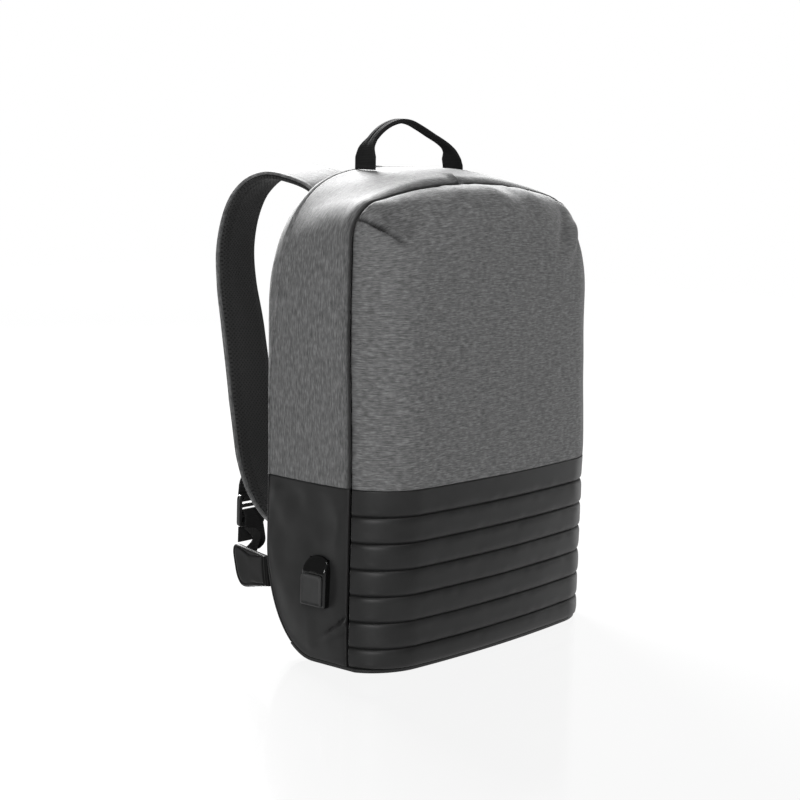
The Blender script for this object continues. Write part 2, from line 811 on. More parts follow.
# Side and top wall
def swelling(valley, share):
    quick = 1 - clip01(1 - share / 0.14) ** 2
    settled = lerp(0.62, 1, smooth(0.08, 0.6, share))
    return valley * quick * settled * (1 - share * share)


def valley_at(around):
    return lerp(SEAM_VALLEY, SEAM_VALLEY_SIDE, smooth(0, DOME_SHARE, around))


def depth_shares(count):
    """Shares of the wall's depth, close together in the valley behind the front seam."""
    valley = np.array([0, 0.002, 0.006, 0.012, 0.02, 0.03, 0.042, 0.056, 0.072, 0.09, 0.112, 0.14])
    rest = np.linspace(0.14, 1, count)[1:-1]
    return np.concatenate([valley, rest, [0.988, 0.995, 1.0]])


def gusset_piece():
    turns = even_turns(190, seam_outline)
    front_x, front_z = seam_outline(np.abs(turns))
    rear_x, rear_z = rim_line(np.abs(turns))
    rear_y = BACK_Y - rim_setback(np.abs(turns)) - GAP
    sign = np.sign(turns)
    share = depth_shares(36)[:, None]
    front = stack(sign * front_x, wall_edge(front_z), front_z)[None]
    rear = stack(sign * rear_x, rear_y, rear_z)[None]
    flat = lerp(front, rear, share[..., None])
    step = np.gradient(flat, axis=1)
    outward = unit(stack(-step[..., 2], 0, step[..., 0]))
    outward[:, [0, -1], 2] = 0
    outward = unit(outward)
    towards = np.sign(np.sum(outward * (flat - np.array(WALL_MIDDLE)), -1, keepdims=True))
    base = flat + outward * towards * swelling(valley_at(np.abs(turns)), share)[..., None]
    left, right, low, over = edge_distances(base)
    end = np.minimum(left, right)
    run = lengths(base, 1)
    run = (run - run[len(run) // 2])[None, :] + 0 * low
    pinch_place = run + 32 - 0.45 * low
    pinch = 3.0 * bump(pinch_place, 4.5) - 3.0 * bump(pinch_place - 8.0, 3.4)
    pinch = pinch * smooth(0, 4, low) * (1 - smooth(12, 38, low))
    roll = noise(run / 16, low / 60, 31) * np.exp(-low / 16) * 0.7
    sway = 0.9 * noise(run / 70, base[..., 1] / 60, 33)
    sway += 0.3 * noise(run / 28, base[..., 1] / 40, 35)
    calm = smooth(2, 20, low) * smooth(0, 14, over) * smooth(0, 16, end)
    relief = pinch + roll * smooth(0, 3, low) + sway * calm
    relief -= turned_in(low, 2.0) + turned_in(over, 1.0) + turned_in(end, 0.8)
    outer = raised(base, WALL_MIDDLE, relief)
    outer[..., 1] = np.minimum(outer[..., 1], rear_y[None, :])
    outer[:, [0, -1], 2] = UPPER_EDGE

    def behind(points):
        points[..., 1] = np.maximum(points[..., 1], wall_edge(points[..., 2]))
        points[..., 2] = np.maximum(points[..., 2], UPPER_EDGE)
        return points

    base[:, [0, -1], 2] = UPPER_EDGE
    uv = np.stack([run, low], -1)
    piece = cloth_sheet("gusset_upper", behind(outer), base, CLOTH_WALL, WALL_MIDDLE, HEATHER,
                        behind, uv)
    folded = 0.35 * bump(pinch_place - 7.5, 2.5) * (1 - smooth(12, 34, low))
    return creased(piece, folded + bump(low, 2.2) + 0.35 * bump(low, 8))


gusset_piece()


def side_piece(side, name):
    a = near_edges(74, 165)[None, :]
    b = near_edges(70, 120)[:, None]
    run, rise = SIDE_HEEL
    flat_share = 0.35
    straight_y = lerp(SEAM_EDGE, BACK_Y - run, a / flat_share)
    angle = np.pi / 2 * clip01((a - flat_share) / (1 - flat_share))
    curve_y, curve_z = heel_point(run, rise, angle, FLOOR_GAP)
    low_y = np.where(a < flat_share, straight_y, curve_y)
    low_z = np.where(a < flat_share, FLOOR_GAP, curve_z)
    depth_share = (low_y - SEAM_EDGE) / (BACK_Y - FLOOR_GAP - SEAM_EDGE)
    height = lerp(low_z, LOWER_EDGE, b)
    y = low_y + 0 * height
    settled = smooth(low_z, low_z + 45, height)
    swollen = swelling(SEAM_VALLEY_SIDE, depth_share) * settled
    x = side * (HALF - RIM_LINE_INSET * depth_share + swollen)
    base = stack(x, y, height)
    left, right, low, over = edge_distances(base)
    front = y - SEAM_EDGE
    mark = 1.0 if side < 0 else 0.8
    slope = (height - 50) + 0.8 * (front - 2)
    creases = -2.2 * bump(slope, 2.2) * (1 - smooth(16, 34, front))
    creases += 1.9 * bump(slope + 6, 3.4) * (1 - smooth(18, 40, front))
    creases += -1.5 * bump(slope + 13 - 0.25 * front, 3) * (1 - smooth(22, 48, front))
    port = np.hypot(y + PORT_FORWARD, (height - PORT_SILL - PORT_HEIGHT / 2) * 0.75)
    pulled = -1.2 * bump(port - 16, 9) if side < 0 else 0
    dents = 2.8 * noise(y / 34 + 4, height / 42, 41 + side) + 1.0 * noise(y / 15, height / 19, 43)
    calm = smooth(0, 16, np.minimum(left, right)) * smooth(0, 14, low) * smooth(0, 14, over)
    relief = creases * mark * smooth(0, 4, left) + pulled + dents * calm
    edge = np.minimum(np.minimum(left, right), low)
    relief = relief - turned_in(edge, 2.0) - turned_in(over, 0.8)
    outer = raised(base, MIDDLE, relief)
    outer[..., 1] = np.clip(outer[..., 1], SEAM_EDGE, BACK_Y - FLOOR_GAP)
    outer[..., 2] = np.minimum(outer[..., 2], LOWER_EDGE)

    def behind(points):
        points[..., 1] = np.maximum(points[..., 1], SEAM_EDGE)
        return points

    uv = np.stack([y + 0 * height, height], -1)
    piece = cloth_sheet(name, outer, base, CLOTH_WALL, MIDDLE, COATED, behind, uv)
    folded = 0.4 * bump(slope, 1.8) * (1 - smooth(16, 34, front))
    return creased(piece, folded + bump(left, 4.2) + 0.3 * bump(left, 12))


LEFT_SIDE = side_piece(-1, "side_panel_left")
side_piece(1, "side_panel_right")


def open_port(piece):
    """Takes the side wall's faces out where the port's housing goes through them."""
    mesh = piece.data
    shape = bmesh.new()
    shape.from_mesh(mesh)
    inside = []
    for face in shape.faces:
        x, y, z = face.calc_center_median() * 1000
        across = abs(y + PORT_FORWARD) < PORT_WIDTH / 2 - PORT_EDGE
        if across and PORT_SILL + PORT_EDGE < z < PORT_SILL + PORT_HEIGHT - 2 * PORT_EDGE:
            inside.append(face)
    bmesh.ops.delete(shape, geom=inside, context="FACES")
    shape.to_mesh(mesh)
    shape.free()


open_port(LEFT_SIDE)


# Rounded strip along the back edge
def rolled_edge(angle_share):
    """Piping along both edges of the strip: a small swelling beside each."""
    return 0.7 * (bump(angle_share - 0.12, 0.1) + bump(angle_share - 0.88, 0.1))


def rim_upper_piece():
    turns = even_turns(170, rim_line)
    around = np.abs(turns)
    sign = np.sign(turns)
    outer_x, outer_z = rim_line(around)
    inner_x, inner_z = back_outline(around)
    share = np.linspace(0, 1, 19)[:, None]
    angle = share * np.pi / 2
    inset = 1 - np.cos(angle)
    y = BACK_Y - rim_setback(around) * (1 - np.sin(angle))
    base = stack(sign * lerp(outer_x, inner_x, inset), y, lerp(outer_z, inner_z, inset))
    low, over = edge_distances(base)[2:]
    run = lengths(base, 1)[None, :] + 0 * y
    pucker = 0.25 * noise(run / 9, share * 2.5, 51) * bump(share - 0.5, 0.35)
    relief = rolled_edge(share) + pucker - turned_in(np.minimum(low, over), 0.7)
    outer = raised(base, (0, 0, DOME_SPRING), relief)
    outer[:, [0, -1], 2] = UPPER_EDGE
    base[:, [0, -1], 2] = UPPER_EDGE
    uv = np.stack([run, low], -1)
    cloth_sheet("back_rim_upper", outer, base, RIM_WALL, (0, 0, DOME_SPRING), HEATHER,
                None, uv)


def rim_lower_piece(side, name):
    run, rise = SIDE_HEEL
    a = np.linspace(0, 1, 90)[None, :]
    b = np.linspace(0, 1, 19)[:, None]
    start = heel_angle(run, BASE_REAR_EDGE + GAP)
    angle = lerp(start, np.pi / 2, clip01(a / 0.7))
    turn = b * np.pi / 2
    y, z = heel_point(run, rise, angle, RIM_SETBACK_SIDE * (1 - np.sin(turn)))
    z = np.where(a > 0.7, lerp(rise, LOWER_EDGE, (a - 0.7) / 0.3), z)
    inset = lerp(RIM_LINE_INSET, RIM_INSET, 1 - np.cos(turn))
    base = stack(side * (HALF - inset), y, z)
    low, over = edge_distances(base)[2:]
    away = (0, 0, sum(SIDE_HEEL))
    relief = rolled_edge(b) - turned_in(np.minimum(low, over), 0.7)
    outer = raised(base, away, relief)
    outer[..., 2] = np.minimum(outer[..., 2], LOWER_EDGE)
    cloth_sheet(name, outer, base, RIM_WALL, away, COATED)


rim_upper_piece()
rim_lower_piece(-1, "back_rim_left")
rim_lower_piece(1, "back_rim_right")


# Back panel
def back_top(x):
    across = clip01(np.abs(x) / (REACH - RIM_INSET))
    rise = DOME_RISE - RIM_INSET
    return DOME_SPRING + rise * np.clip(1 - across**DOME_POWER, 0, 1) ** (1 / DOME_POWER)


def back_face_y(x, height):
    across = clip01(np.abs(x) / HALF)
    padded = smooth(0, SIDE_HEEL[1], height) * smooth(0, BACK_PADDING_RUN, back_top(x) - height)
    return BACK_Y + BACK_PADDING * (1 - across**4) * padded


def back_piece():
    turn = np.linspace(-1, 1, 121)[None, :] * DOME_SHARE
    b = np.linspace(0, 1, 130)[:, None]
    top_x, top_z = back_outline(np.abs(turn))
    share = np.sign(turn) * top_x / (REACH - RIM_INSET)
    run, rise = heel(share * HALF)
    start = BASE_REAR_EDGE + GAP
    flat = np.maximum(0, BACK_Y - run - start)
    path = clip01(b / 0.4) * (flat + run)
    angle = lerp(heel_angle(run, start), np.pi / 2, clip01((path - flat) / run))
    y, z = heel_point(run, rise, angle, 0)
    y = y - np.maximum(0, flat - path)
    z = np.where(b > 0.4, lerp(rise, top_z - GAP, (b - 0.4) / 0.6), z)
    widening = smooth(BOUNDARY_HEIGHT, DOME_SPRING, z)
    x = share * (lerp(HALF - RIM_INSET, REACH - RIM_INSET, widening) - GAP)
    base = stack(x, y + back_face_y(x, z) - BACK_Y, z)
    left, right, low, over = edge_distances(base)
    edge = np.minimum(np.minimum(left, right), over)
    quilt = 0.8 * noise(x / 40, z / 45, 61) * smooth(5, 40, edge)
    relief = quilt + seam_line(edge, 6, 1.2, 0.9) - turned_in(np.minimum(edge, low), 1.5)
    outer = raised(base, MIDDLE, relief)
    outer[..., 1] = np.maximum(outer[..., 1], BASE_REAR_EDGE + GAP)

    def behind(points):
        points[..., 1] = np.maximum(points[..., 1], BASE_REAR_EDGE + GAP)
        return points

    cloth_sheet("back_panel", outer, base, BACK_WALL, MIDDLE, MESH, behind, None)


back_piece()


# Base board
def base_piece():
    share = rounded_shares(14, 50)[None, :]
    b = near_edges(60, 130)[:, None]
    x = share * (HALF - RIM_LINE_INSET)
    side_share = round_over(HALF - np.abs(x), FRONT_SIDE_RUN)
    front = SEAM_Y - front_depth(x, 0.0 * x) + (FOOT_SETBACK + GAP) * side_share
    run, rise = heel(x)
    y = lerp(front, BASE_REAR_EDGE, b)
    z = heel_point(run, rise, heel_angle(run, y), 0)[1]
    base = stack(x + 0 * y, y, np.where(y > BACK_Y - run, z, 0))
    left, right, low, over = edge_distances(base)
    edge = np.minimum(np.minimum(left, right), np.minimum(low, over))
    outer = raised(base, MIDDLE, -turned_in(edge, 0.9))

    def in_front(points):
        points[..., 1] = np.minimum(points[..., 1], BASE_REAR_EDGE)
        return points

    cloth_sheet("base_panel", outer, base, BASE_WALL, MIDDLE, COATED, in_front)


base_piece()


# Bands: straps and webbing
def table(columns, *rows):
    """Rows of numbers under columns that are named once."""
    return [dict(zip(columns.split(), row)) for row in rows]


def spline(points):
    """Centripetal Catmull-Rom curve through points: returns place and direction at shares."""
    points = np.asarray(points, float)
    held = np.vstack([2 * points[0] - points[1], points, 2 * points[-1] - points[-2]])
    last = len(points) - 1

    def at(share):
        place = clip01(np.asarray(share, float)) * last
        row = np.minimum(place.astype(int), last - 1)
        w = (place - row)[..., None]
        p0, p1, p2, p3 = (held[row + k] for k in range(4))
        d0, d1, d2 = (
            np.sqrt(np.linalg.norm(b - a, axis=-1, keepdims=True))
            for a, b in ((p0, p1), (p1, p2), (p2, p3))
        )
        t1 = ((p1 - p0) / d0 - (p2 - p0) / (d0 + d1) + (p2 - p1) / d1) * d1
        t2 = ((p2 - p1) / d1 - (p3 - p1) / (d1 + d2) + (p3 - p2) / d2) * d1
        c2 = -3 * p1 + 3 * p2 - 2 * t1 - t2
        c3 = 2 * p1 - 2 * p2 + t1 + t2
        return p1 + w * (t1 + w * (c2 + w * c3))

    def curve(share):
        share = np.asarray(share, float)
        return at(share), unit(at(share + 1e-4) - at(share - 1e-4))

    return curve


# Each row is one place on the strap's outer face: out behind the back as a share of
# STRAP_REACH, up of BAG_HEIGHT, across of half BAG_WIDTH, wide of STRAP_WIDTH, lean in degrees
STRAP_ROWS = table(
    "out up across wide lean",
    (0.03, 0.96, 0.444, 1.0, 9),
    (0.13, 0.975, 0.444, 1.0, 9),
    (0.315, 0.988, 0.448, 1.0, 8),
    (0.507, 0.992, 0.456, 0.98, 7),
    (0.693, 0.976, 0.467, 0.93, 7),
    (0.841, 0.941, 0.477, 0.88, 6),
    (0.937, 0.89, 0.478, 0.88, 5),
    (1.0, 0.815, 0.472, 0.9, 5),
    (0.985, 0.733, 0.467, 0.96, 5),
    (0.9, 0.638, 0.478, 1.0, 3),
    (0.752, 0.478, 0.518, 1.0, 2),
    (0.6, 0.356, 0.585, 0.96, 6),
    (0.45, 0.291, 0.64, 0.86, 10),
    (0.27, 0.249, 0.685, 0.72, 12),
    (0.17, 0.236, 0.7, 0.58, 12),
)
STRAP_CURVE = spline([
    (row["across"] * HALF, BACK_Y + row["out"] * STRAP_REACH, row["up"] * BAG_HEIGHT)
    for row in STRAP_ROWS
])
SEWN_FROM = 0.765
SEWN_TO = 0.805


def strap_value(column, share):
    rows = np.linspace(0, 1, len(STRAP_ROWS))
    return np.interp(share, rows, [row[column] for row in STRAP_ROWS])


def strap_frame(share):
    """Place and directions on the right strap: across to the outer side, out off the loop."""
    place, along = STRAP_CURVE(share)
    across = np.zeros_like(along)
    across[..., 0] = 1
    across = unit(across - along * np.sum(across * along, -1, keepdims=True))
    lean = np.radians(strap_value("lean", share))[..., None]
    across = across * np.cos(lean) + np.cross(along, across) * np.sin(lean)
    return place, along, across, unit(np.cross(across, along))


def section(flat_count, turn_count):
    """Outline of a flat band's section: across from -1 to 1, bulge is 0 on a face and 1 or -1 at
    the middle of an edge, face is 0 on the outer face and 1 on the inner one."""
    flat = np.linspace(-1, 1, flat_count)
    turn = np.linspace(0, np.pi, turn_count + 2)[1:-1]
    across = np.concatenate([flat, 1 + 0 * turn, flat[::-1], -1 + 0 * turn])
    bulge = np.concatenate([0 * flat, np.sin(turn), 0 * flat, -np.sin(turn)])
    face = np.concatenate([0 * flat, (1 - np.cos(turn)) / 2, 1 + 0 * flat, (1 + np.cos(turn)) / 2])
    return across, bulge, face


def strap_layer(name, side, contact, free, margin, material, relief):
    share = np.linspace(0, 1, 190)
    place, _, across, out = strap_frame(share)
    half = (strap_value("wide", share) * STRAP_WIDTH / 2 - margin)[:, None]
    wide, bulge, face = section(31, 5)
    radius = abs(free - contact) * 0.45
    low, high = min(contact, free), max(contact, free)
    at = wide * (half - radius) + bulge * radius
    inset = half - np.abs(at)
    run = lengths(place[:, None], 0)[:, None]
    depth = lerp(low, high, face) + 0 * at
    lift = relief(inset, run, at)
    outer_face = face < 0.5 if free < contact else face >= 0.5
    depth = depth + np.where(outer_face, np.sign(contact - free) * -lift, 0)
    points = place[:, None] + across[:, None] * at[..., None] - out[:, None] * depth[..., None]
    points[0, :, 1] = back_face_y(points[0, :, 0], points[0, :, 2]) + GAP
    points[..., 0] *= side
    uv = np.stack([at, run + 0 * at], -1)
    loft(name + "_cloth", points, material, name, uv)


def shell_relief(inset, run, at):
    """The gray outer face: turned edges held down by a stitched line."""
    return seam_line(inset, 5.5, 0.8, 0.5) + 0.25 * noise(run / 23, at / 18, 71)


def pad_relief(inset, run, at):
    """The soft inner face: full in the middle, with a bound edge."""
    full = 1.2 * smooth(1.5, 9, inset)
    return full + seam_line(inset, 6.5, 0.9, 0.7) + 0.4 * noise(run / 30, at / 20, 73) - 0.4


for NAME, SIDE in (("left", -1), ("right", 1)):
    strap_layer(f"strap_shell_{NAME}", SIDE, STRAP_SHELL, 0, 0, HEATHER_STRAP, shell_relief)
    PAD_TOP = STRAP_SHELL + GAP
    strap_layer(f"strap_pad_{NAME}", SIDE, PAD_TOP, PAD_TOP + STRAP_PAD, 2, MESH, pad_relief)


def webbing(name, side, rows, steps=9):
    """Flat band through rows of place and width direction, with woven edges."""
    curve = spline([row[0] for row in rows])
    share = np.linspace(0, 1, (len(rows) - 1) * steps + 1)
    place, along = curve(share)
    shares = np.linspace(0, 1, len(rows))
    wide = np.stack([
        np.interp(share, shares, [row[1][k] for row in rows]) for k in range(3)
    ], -1)
    wide = unit(wide - along * np.sum(wide * along, -1, keepdims=True))
    thick = unit(np.cross(wide, along))
    across, bulge, face = section(13, 3)
    radius = WEBBING_THICKNESS / 2
    at = across * (WEBBING_WIDTH / 2 - radius) + bulge * radius
    ridge = 0.12 * bump(np.abs(at) - WEBBING_WIDTH / 2 + 2.6, 0.7)
    depth = (face - 0.5) * (WEBBING_THICKNESS - 2 * ridge)
    points = place[:, None] + wide[:, None] * at[None, :, None]
    points = points + thick[:, None] * depth[None, :, None]
    points[..., 0] *= side
    run = lengths(place[:, None], 0)[:, None]
    uv = np.stack(np.broadcast_arrays(at[None, :], run), -1)
    loft(name + "_band", points, WEBBING, name, uv)


LEAVES = strap_frame(np.array(SEWN_TO))[0]
LOCK_X = LEAVES[0] + LOCK_SPREAD
LOCK_Y = LEAVES[1] - LOCK_FORWARD
LOCK_LOW = LEAVES[2] - LOCK_DROP - LOCK_LENGTH
SLOT_HEIGHT = (LOCK_LENGTH - LOCK_BAR) / 3 - LOCK_BAR
SLOT_PASS = SLOT_HEIGHT * 0.55
WEBBING_OFF = GAP + WEBBING_THICKNESS / 2
LOCK_OFF = LOCK_THICKNESS / 2 + WEBBING_OFF + 1.1
SIDEWAYS = np.array([1.0, 0, 0])
WING_X = HALF - RIM_LINE_INSET - WING_THICKNESS / 2
WING_END_TOP = LOCK_LOW - ADJUSTER_DROP
WING_ROOT_TOP = WING_END_TOP + 2
WING_ANGLE = math.radians(WING_TURN)


def at_lock(away, above):
    return np.array([LOCK_X, LOCK_Y + away, LOCK_LOW + above])


def on_strap(share):
    place, _, across, out = strap_frame(np.array(share))
    return place + out * (WEBBING_OFF + GAP), across


def on_wing(reach, height, away):
    """A point beside the wing's inner face."""
    off = WING_THICKNESS / 2 + away
    return np.array([
        WING_X - reach * math.sin(WING_ANGLE) - off * math.cos(WING_ANGLE),
        BACK_Y + reach * math.cos(WING_ANGLE) - off * math.sin(WING_ANGLE),
        height,
    ])


def lock_loop(side, name):
    bottom = LOCK_LENGTH - LOCK_BAR
    webbing(name, side, [
        on_strap(SEWN_FROM),
        on_strap((SEWN_FROM + SEWN_TO) / 2),
        on_strap(SEWN_TO),
        (at_lock(LOCK_OFF + GAP, LOCK_LENGTH + 3), SIDEWAYS),
        (at_lock(LOCK_OFF + GAP, bottom), SIDEWAYS),
        (at_lock(0, bottom - SLOT_PASS), SIDEWAYS),
        (at_lock(-LOCK_OFF, bottom + LOCK_BAR / 2), SIDEWAYS),
    ])


def adjuster(side, name):
    top = 2 * LOCK_BAR + SLOT_HEIGHT
    wing_wide = on_wing(0, 0, 0) - on_wing(1, 0, 0)
    sewn = WING_REACH - ADJUSTER_SEWN_INSET
    height = WING_END_TOP - ADJUSTER_SEWN_LENGTH
    webbing(name, side, [
        (on_wing(sewn, height - ADJUSTER_SEWN_LENGTH, WEBBING_OFF), wing_wide),
        (on_wing(sewn, height, WEBBING_OFF), wing_wide),
        (on_wing(sewn, WING_END_TOP, WEBBING_OFF + WEBBING_THICKNESS + GAP), wing_wide),
        (at_lock(-LOCK_OFF - WEBBING_THICKNESS, -ADJUSTER_DROP / 3), SIDEWAYS),
        (at_lock(-LOCK_OFF, LOCK_BAR), SIDEWAYS),
        (at_lock(-LOCK_OFF, top - LOCK_BAR / 2), SIDEWAYS),
        (at_lock(0, top + SLOT_PASS), SIDEWAYS),
        (at_lock(LOCK_OFF, top - LOCK_BAR / 2), SIDEWAYS),
        (at_lock(LOCK_OFF, 0), SIDEWAYS),
        (at_lock(LOCK_OFF + GAP, -TAIL_LENGTH), SIDEWAYS),
    ])


# Plates with rounded edges
def plate(outline, profile):
    """Rings through a profile of (inset, depth): the outline drawn in towards its centre."""
    outline = np.asarray(outline, float)
    centre = outline.mean(0)
    reach = np.linalg.norm(outline - centre, axis=1)[None, :, None]
    inset = np.array([row[0] for row in profile])[:, None, None]
    flat = centre + (outline - centre) * (1 - inset / reach)
    depth = np.array([row[1] for row in profile])[:, None, None]
    return np.concatenate([flat, depth + 0 * flat[..., :1]], -1)


def rounded(points, radii, steps=7):
    """A closed outline with its corners rounded, each by its own radius."""
    points = np.asarray(points, float)
    outline = []
    for index, radius in enumerate(radii):
        corner = points[index]
        before = corner + unit(points[index - 1] - corner) * radius
        after = corner + unit(points[(index + 1) % len(points)] - corner) * radius
        for share in np.linspace(0, 1, steps if radius else 1):
            outline.append(lerp(lerp(before, corner, share), lerp(corner, after, share), share))
    return np.array(outline)


def resampled(outline, count):
    closed = np.vstack([outline, outline[:1]])
    run = np.concatenate([[0], np.cumsum(np.linalg.norm(np.diff(closed, axis=0), axis=1))])
    even = np.linspace(0, run[-1], count, endpoint=False)
    return np.stack([np.interp(even, run, closed[:, k]) for k in range(2)], -1)


def wing_root(height):
    run, rise = SIDE_HEEL
    angle = math.acos(1 - min(1, height / rise))
    clear = GAP + WING_THICKNESS / 2 * math.sin(WING_ANGLE)
    return (heel_point(run, rise, angle, 0)[0] - BACK_Y + clear) / math.cos(WING_ANGLE)


def wing_tab(side, name):
    root_low = WING_ROOT_TOP - WING_ROOT_HEIGHT
    end_low = WING_END_TOP - WING_END_HEIGHT
    root = [(wing_root(h), h) for h in np.linspace(root_low, WING_ROOT_TOP, 5)]
    corners = root + [(WING_REACH, WING_END_TOP), (WING_FOOT_REACH, end_low)]
    outline = resampled(rounded(corners, [0, 0, 0, 0, 0, 14, 20]), 150)
    half = WING_THICKNESS / 2
    side_profile = [(16, 0.92), (9, 1.0), (6.4, 0.98), (5.4, 0.8), (4.7, 0.72), (4.0, 0.8),
                    (3.2, 0.92), (2.0, 0.92), (1.0, 0.74), (0.35, 0.46), (0.05, 0.2)]
    profile = [(i, -d * half) for i, d in side_profile] + [(0, 0)]
    profile += [(i, d * half) for i, d in side_profile[::-1]]
    rings = plate(outline, profile)
    reach, height, depth = rings[..., 0], rings[..., 1], rings[..., 2]
    points = stack(
        WING_X - reach * math.sin(WING_ANGLE) + depth * math.cos(WING_ANGLE),
        BACK_Y + reach * math.cos(WING_ANGLE) + depth * math.sin(WING_ANGLE),
        height,
    )
    points[..., 0] *= side
    uv = np.stack([reach, height], -1)
    loft(name + "_pad", points, TAB, name, uv)


for NAME, SIDE in (("left", -1), ("right", 1)):
    lock_loop(SIDE, f"lock_loop_{NAME}")
    adjuster(SIDE, f"adjuster_webbing_{NAME}")
    wing_tab(SIDE, f"wing_tab_{NAME}")


def ladder_lock(side, name):
    """Moulded frame with three slots, its bars rounded so that the webbing runs freely."""
    half = LOCK_WIDTH / 2
    slot_half = WEBBING_WIDTH / 2 + 1
    bevel = 0.9
    curve = bpy.data.curves.new(name + "_outline", "CURVE")
    curve.dimensions = "2D"
    curve.fill_mode = "BOTH"
    curve.extrude = (LOCK_THICKNESS / 2 - bevel) * 0.001
    curve.bevel_depth = bevel * 0.001
    curve.bevel_resolution = 3
    curve.offset = -bevel * 0.001
    outer = rounded([(-half, 0), (half, 0), (half, LOCK_LENGTH), (-half, LOCK_LENGTH)], [5.5] * 4)
    shapes = [outer]
    for slot in range(3):
        low = LOCK_BAR + slot * (SLOT_HEIGHT + LOCK_BAR)
        high = low + SLOT_HEIGHT
        corners = [(-slot_half, low), (slot_half, low), (slot_half, high), (-slot_half, high)]
        shapes.append(rounded(corners, [1.2] * 4, 4))
    for shape in shapes:
        line = curve.splines.new("POLY")
        line.points.add(len(shape) - 1)
        line.use_cyclic_u = True
        for point, (x, z) in zip(line.points, shape):
            point.co = (x * 0.001, z * 0.001, 0, 1)
    drawn = bpy.data.objects.new(name + "_outline", curve)
    bpy.context.scene.collection.objects.link(drawn)
    depsgraph = bpy.context.evaluated_depsgraph_get()
    mesh = bpy.data.meshes.new_from_object(drawn.evaluated_get(depsgraph))
    bpy.data.objects.remove(drawn)
    bpy.data.curves.remove(curve)
    shape = bmesh.new()
    shape.from_mesh(mesh)
    bmesh.ops.remove_doubles(shape, verts=shape.verts, dist=1e-6)
    bmesh.ops.recalc_face_normals(shape, faces=shape.faces)
    shape.verts.ensure_lookup_table()
    flat = np.array([vertex.co for vertex in shape.verts]) * 1000
    faces = [[vertex.index for vertex in face.verts] for face in shape.faces]
    shape.free()
    bpy.data.meshes.remove(mesh)
    vertices = stack(side * (LOCK_X + flat[:, 0]), LOCK_Y - flat[:, 2], LOCK_LOW + flat[:, 1])
    make_object(name + "_frame", vertices, orient(vertices, faces), flat[:, :2], PLASTIC, name)


ladder_lock(-1, "ladder_lock_left")
ladder_lock(1, "ladder_lock_right")


# Carry handle. Each row is one place on the band's middle line: across as a share of half
# HANDLE_SPAN, up of HANDLE_RISE above BAG_HEIGHT, grip 0 flat at the feet and 1 folded
HANDLE_ROWS = table(
    "across up grip",
    (-1.0, 0.04, 0),
    (-1.0, 0.21, 0),
    (-0.98, 0.39, 0.45),
    (-0.86, 0.57, 1),
    (-0.7, 0.74, 1),
    (-0.5, 0.87, 1),
    (-0.27, 0.94, 1),
    (-0.04, 0.92, 1),
    (0.21, 0.81, 1),
    (0.47, 0.67, 1),
    (0.7, 0.55, 1),
    (0.86, 0.44, 0.9),
    (0.95, 0.33, 0.6),
    (0.99, 0.19, 0.1),
    (1.03, 0.04, 0),
)


def top_height(x, y):
    """Height of the top wall over places, found along the wall's outline."""
    turn = np.linspace(0, DOME_SHARE, 900)
    rear_y = BACK_Y - rim_setback(turn) - GAP
    front_x, front_z = seam_outline(turn)
    rear_x, rear_z = rim_line(turn)
    heights = []
    front_y = wall_edge(front_z)
    for px, py in zip(x, y):
        share = clip01((py - front_y) / (rear_y - front_y))
        at_x = lerp(front_x, rear_x, share)
        at_z = lerp(front_z, rear_z, share) + swelling(valley_at(turn), share)
        heights.append(np.interp(abs(px), at_x, at_z))
    return np.array(heights)


def carry_handle():
    middle_y = BACK_Y - HANDLE_BACK
    curve = spline([
        (row["across"] * HANDLE_SPAN / 2, middle_y, BAG_HEIGHT + row["up"] * HANDLE_RISE)
        for row in HANDLE_ROWS
    ])
    share = np.linspace(0, 1, 225)
    place, along = curve(share)
    off = unit(stack(-along[:, 2], 0, along[:, 0]))
    rows = np.linspace(0, 1, len(HANDLE_ROWS))
    grip = np.interp(share, rows, [row["grip"] for row in HANDLE_ROWS])[:, None]
    wide, bulge, face = section(15, 3)
    half = lerp(WEBBING_WIDTH, HANDLE_FOLDED, grip) / 2
    thick = lerp(HANDLE_THICKNESS, HANDLE_FOLDED_THICKNESS, grip)
    radius = lerp(1.1, 2.1, grip)
    at = wide * (half - radius) + bulge * radius
    fold = 0.55 * bump(at, 0.9) * grip + 0.25 * bump(half - np.abs(at) - 2.8, 0.7)
    depth = (0.5 - face) * (thick - 2 * fold * (bulge == 0))
    points = place[:, None] + off[:, None] * depth[..., None]
    points[..., 1] += at
    for end in (0, -1):
        points[end, :, 2] = top_height(points[end, :, 0], points[end, :, 1]) + GAP
    run = lengths(place[:, None], 0)[:, None]
    uv = np.stack([at, run + 0 * at], -1)
    loft("carry_handle_band", points, WEBBING, "carry_handle", uv)


carry_handle()


# Charging port
def arch(width, height, sill, radius):
    """Outline with a rounded top, as places along y and z."""
    half = width / 2
    top = sill + height
    corners = [(-half, sill), (half, sill), (half, top), (-half, top)]
    foot = 1.6
    return rounded(corners, [foot, foot, radius, radius], 12)


def port_part(name, outline, profile, material, fall=0.0):
    """A part of the port, whose top leans back to the wall by a share of its stand."""
    rings = plate(outline, profile)
    over = smooth(PORT_SILL + 0.66 * PORT_HEIGHT, PORT_SILL + 1.08 * PORT_HEIGHT, rings[..., 1])
    rings[..., 2] -= np.maximum(rings[..., 2] - HALF, 0) * fall * over
    points = stack(-rings[..., 2], -rings[..., 0] - PORT_FORWARD, rings[..., 1])
    loft(name + "_shape", points, material, name, rings[..., :2])


